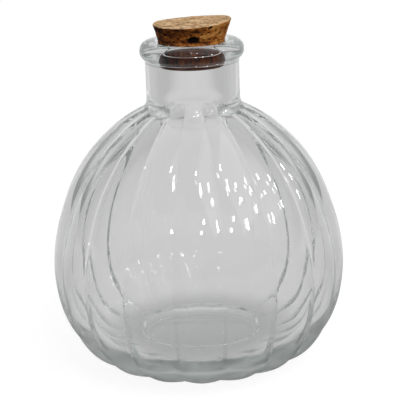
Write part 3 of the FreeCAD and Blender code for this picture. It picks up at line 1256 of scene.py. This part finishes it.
@dataclass
class CorkStopper:
    """Short plug cut from natural cork, squeezed in the bore and flared above the lip. Millimetres."""

    bottom_radius: float = 9.3
    waist_radius: float = 10.6
    squeezed_radius: float = 10.85
    top_radius: float = 12.95
    bottom_height: float = 98.6
    waist_height: float = 101.8
    mouth_height: float = 106.99
    top_height: float = 112.82
    top_slope: float = 2.75
    slope_end_depth: float = 1.0
    top_lean: float = 0.35
    front_wear: float = 0.15
    back_wear: float = 0.6
    rim_raggedness: float = 0.4
    rim_scale: float = 0.6
    edge_bend: float = 0.3
    bottom_bend: float = 1.2
    side_spacing: float = 0.22
    end_spacing: float = 0.3
    columns: int = 320
    grain_scale: float = 0.9
    grain_depth: float = 0.22
    pit_spacing: float = 1.8
    pit_radius: float = 0.4
    pit_depth: float = 0.45
    pit_flatness: float = 1.7
    seed: int = 7
    hollows: tuple[Hollow, ...] = (
        Hollow(2.0, 108.3, 2.1, 1.3),
        Hollow(28.0, 112.0, 0.9, 0.7),
        Hollow(66.0, 110.5, 1.0, 0.8),
        Hollow(-48.0, 110.2, 0.9, 0.6),
        Hollow(140.0, 109.0, 1.5, 1.0),
        Hollow(205.0, 110.4, 1.1, 0.8),
        Hollow(262.0, 108.4, 1.3, 0.9),
    )

    def build(self, turner: TurnedTree, finish: NaturalCork) -> bpy.types.Object:
        """Makes the stopper.

        Args:
            turner: Tree that turns outlines.
            finish: The cork.

        Returns:
            The stopper as a piece.
        """
        material = finish.material()
        plug = turner.turn(
            "cork_plug",
            self.outline(),
            {
                "Columns": self.columns,
                "Lobes": 1,
                "Wobble Scale": self.rim_scale / MM,
                "Crease Angle": math.pi,
                "Finish": material,
            },
        )
        bark = BarkTree([self.hollow_spot(hollow) for hollow in self.hollows])
        mesh = bark.apply(
            "cork_stopper_cut",
            plug,
            {
                "Top Slope": math.tan(math.radians(self.top_slope)),
                "Top Lean": self.top_lean * MM,
                "Front Wear": self.front_wear * MM,
                "Back Wear": self.back_wear * MM,
                "Rim Radius": self.top_radius * MM,
                "Slope Foot": self.mouth_height * MM,
                "Slope Top": (self.top_height - self.slope_end_depth) * MM,
                "Grain Scale": self.grain_scale / MM,
                "Grain Depth": self.grain_depth * MM,
                "Pit Spacing": self.pit_spacing * MM,
                "Pit Radius": self.pit_radius * MM,
                "Pit Depth": self.pit_depth * MM,
                "Flatness": self.pit_flatness,
                "Seed": self.seed,
                "Finish": material,
            },
        )
        return add_piece("cork_stopper_cut", mesh, Body.STOPPER, "cork_stopper")

    def outline(self) -> list[Ring]:
        """Half section of the smooth plug.

        Returns:
            The rings, from the middle of the bottom to the middle of the top.
        """
        bottom = Ring(self.bottom_radius, self.bottom_height)
        top = Ring(self.top_radius, self.top_height, wobble=self.rim_raggedness)
        mouth = Ring(self.squeezed_radius, self.mouth_height)
        waist = Ring(self.waist_radius, self.waist_height)
        bottom_middle = Ring(0.0, self.bottom_height)
        top_middle = Ring(0.0, self.top_height)
        edge = self.edge_bend
        side_start = bottom.towards(waist, self.bottom_bend / bottom.gap(waist))
        side_end = top.towards(mouth, edge / top.gap(mouth))
        bottom_end = bottom.towards(bottom_middle, self.bottom_bend / bottom.radius)
        top_start = top.towards(top_middle, edge / top.radius)
        rings = straight(bottom_middle, bottom_end, self.end_spacing)
        rings += bend(bottom_end, bottom, side_start, self.side_spacing)
        rings += straight(side_start, waist, self.side_spacing)
        rings += straight(waist, mouth, self.side_spacing)
        rings += straight(mouth, side_end, self.side_spacing)
        rings += bend(side_end, top, top_start, self.side_spacing)
        rings += straight(top_start, top_middle, self.end_spacing)
        return rings + [top_middle]

    def hollow_spot(self, hollow: Hollow) -> tuple[Vector, float, float]:
        """Place, radius and depth of a hollow in metres.

        Args:
            hollow: Hollow in the cork's side.

        Returns:
            Its middle on the cork's surface, its radius and its depth.
        """
        share = (hollow.height - self.mouth_height) / (self.top_height - self.mouth_height)
        radius = self.squeezed_radius + (self.top_radius - self.squeezed_radius) * share
        angle = math.radians(hollow.angle)
        spot = Vector((radius * math.sin(angle), -radius * math.cos(angle), hollow.height))
        return spot * MM, hollow.radius * MM, hollow.depth * MM


@dataclass(frozen=True)
class Lamp:
    """Rectangular lamp aimed at the object. Degrees and metres; radiance where 1 is white."""

    name: str
    azimuth: float
    elevation: float
    width: float
    height: float
    distance: float = 1.0
    radiance: float = 26.0

    def place(self, target: Vector) -> None:
        """Hangs the lamp.

        Args:
            target: Point that it faces.
        """
        light = bpy.data.lights.new(self.name, "AREA")
        light.shape = "RECTANGLE"
        light.size = self.width
        light.size_y = self.height
        light.energy = self.radiance * math.pi * self.width * self.height
        azimuth, elevation = math.radians(self.azimuth), math.radians(self.elevation)
        flat = math.cos(elevation)
        out = Vector((math.sin(azimuth) * flat, -math.cos(azimuth) * flat, math.sin(elevation)))
        lamp = bpy.data.objects.new(self.name, light)
        lamp.location = target + out * self.distance
        lamp.rotation_euler = (-out).to_track_quat("-Z", "Y").to_euler()
        bpy.context.scene.collection.objects.link(lamp)


@dataclass
class Studio:
    """Pale floor, white surroundings and soft light.

    Lengths are in metres and elevations in degrees. A turn is the part of a direction along one axis over
    which a level changes.
    """

    floor_radius: float = 3.0
    floor_segments: int = 96
    floor_gap: float = 0.0001
    ambient: float = 0.5
    through_turn: Span = (-0.5, 0.1)
    through_front: float = 0.5
    through_back: float = 0.77
    mirrored_turn: Span = (-0.2, 0.5)
    mirrored_front: float = 0.1
    mirrored_back: float = 0.9
    side_turn: Span = (0.1, 0.5)
    side_level: float = 0.78
    ceiling_elevations: Span = (12.0, 50.0)
    ceiling_level: float = 0.65
    horizon_elevations: Span = (3.0, 17.0)
    horizon_level: float = 0.36
    haze: Colour = (0.96, 1.0, 0.985, 1.0)
    light_bounces: int = 32
    target: Vector = Vector((0.0, 0.0, 0.05))
    lamps: tuple[Lamp, ...] = (
        Lamp("soft_key", 62.0, 50.0, 1.4, 1.4, distance=1.3, radiance=0.55),
        Lamp("pane_a", 0.0, 66.0, 0.06, 0.06),
        Lamp("pane_b", 16.0, 54.0, 0.06, 0.15),
        Lamp("pane_c", 46.0, 51.0, 0.07, 0.06),
        Lamp("pane_d", 46.0, 40.0, 0.09, 0.05),
        Lamp("pane_e", 16.0, 31.5, 0.07, 0.05),
        Lamp("pane_f", 46.0, 24.0, 0.06, 0.11),
        Lamp("pane_g", 80.0, 24.0, 0.06, 0.07),
        Lamp("pane_h", 86.0, 33.0, 0.06, 0.07),
        Lamp("pane_i", 82.0, 41.0, 0.06, 0.07),
        Lamp("pane_j", 8.0, 25.0, 0.06, 0.04),
    )

    def build(self, finish: PaleFloor) -> None:
        """Sets the stage.

        Args:
            finish: The floor's finish.
        """
        mesh = bpy.data.meshes.new("studio_floor")
        disc = bmesh.new()
        bmesh.ops.create_circle(
            disc, cap_ends=True, segments=self.floor_segments, radius=self.floor_radius
        )
        disc.to_mesh(mesh)
        disc.free()
        mesh.materials.append(finish.material())
        floor = bpy.data.objects.new("studio_floor", mesh)
        floor.location.z = -self.floor_gap
        bpy.context.scene.collection.objects.link(floor)
        for lamp in self.lamps:
            lamp.place(self.target)
        self.light_world()
        cycles = bpy.context.scene.cycles
        cycles.max_bounces = self.light_bounces
        cycles.glossy_bounces = self.light_bounces
        cycles.transmission_bounces = self.light_bounces

    def light_world(self) -> None:
        """Gives the world soft light, and a plain white look to the camera and through glass."""
        world = bpy.data.worlds.new("studio")
        world.use_nodes = True
        bpy.context.scene.world = world
        graph = Graph(world.node_tree)
        direction = graph.add("ShaderNodeTexCoord").outputs["Generated"]
        towards = graph.split(direction)
        aside = graph.math("ABSOLUTE", towards["X"])
        depth = graph.fade(towards["Y"], *self.through_turn, self.through_front, self.through_back)
        sides = graph.fade(aside, *self.side_turn, 1.0, self.side_level)
        ceiling = self.rising(graph, towards["Z"], self.ceiling_elevations, 1.0, self.ceiling_level)
        horizon = self.rising(graph, towards["Z"], self.horizon_elevations, self.horizon_level, 1.0)
        around = graph.math("MULTIPLY", depth, sides)
        upwards = graph.math("MULTIPLY", ceiling, horizon)
        levels = {
            Ray.CAMERA: 1.0,
            Ray.GLOSSY: graph.fade(
                towards["Y"], *self.mirrored_turn, self.mirrored_front, self.mirrored_back
            ),
            Ray.TRANSMISSION: graph.math("MULTIPLY", around, upwards),
        }
        seen = seen_level(graph, levels)
        unseen = graph.math("LESS_THAN", seen, TINY)
        strength = graph.math("ADD", seen, graph.math("MULTIPLY", unseen, self.ambient))
        colour = graph.tint(ray_share(graph, Ray.TRANSMISSION), grey(1.0), self.haze)
        light = graph.add("ShaderNodeBackground", {"Color": colour, "Strength": strength})
        graph.add("ShaderNodeOutputWorld", {"Surface": light.outputs["Background"]})

    def rising(
        self, graph: Graph, upwards: Socket, elevations: Span, at_low: float, at_high: float
    ) -> Socket:
        """Level that changes between two elevations, for the upward part of a direction."""
        low, high = (math.sin(math.radians(elevation)) for elevation in elevations)
        return graph.fade(upwards, low, high, at_low, at_high)


@dataclass(frozen=True)
class PhotoCamera:
    """Camera at the photograph's place. Millimetres, degrees and pixels of a 400-pixel frame."""

    place: tuple[float, float, float] = (0.0, -412.8, 184.2)
    target: tuple[float, float, float] = (0.0, 0.0, 50.1)
    roll: float = -1.92
    focal_pixels: float = 1300.0
    frame_pixels: float = 400.0
    target_pixel: tuple[float, float] = (196.98, 207.62)
    sensor_width: float = 36.0
    nearest: float = 10.0

    def build(self) -> bpy.types.Object:
        """Sets up the scene's camera.

        Returns:
            The camera.
        """
        data = bpy.data.cameras.new("photo_camera")
        data.sensor_width = self.sensor_width
        data.lens = self.sensor_width * self.focal_pixels / self.frame_pixels
        middle = self.frame_pixels / 2
        data.shift_x = (middle - self.target_pixel[0]) / self.frame_pixels
        data.shift_y = (self.target_pixel[1] - middle) / self.frame_pixels
        data.clip_start = self.nearest * MM
        camera = bpy.data.objects.new("photo_camera", data)
        place, target = Vector(self.place) * MM, Vector(self.target) * MM
        facing = (target - place).to_track_quat("-Z", "Y").to_matrix().to_4x4()
        turned = facing @ Matrix.Rotation(math.radians(self.roll), 4, "Z")
        camera.matrix_world = Matrix.Translation(place) @ turned
        bpy.context.scene.collection.objects.link(camera)
        bpy.context.scene.camera = camera
        return camera


def main() -> None:
    """Builds the pieces, the studio and the camera."""
    logging.basicConfig(level=logging.INFO, format="%(name)s: %(message)s")
    bpy.context.scene.view_settings.view_transform = "Standard"
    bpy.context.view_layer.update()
    turner = TurnedTree()
    pieces = [GlassJar().build(turner, ClearGlass()), CorkStopper().build(turner, NaturalCork())]
    for piece in pieces:
        log.info("%s: %d faces", piece.name, len(piece.data.polygons))
    Studio().build(PaleFloor())
    PhotoCamera().build()


if __name__ == "__main__":
    main()
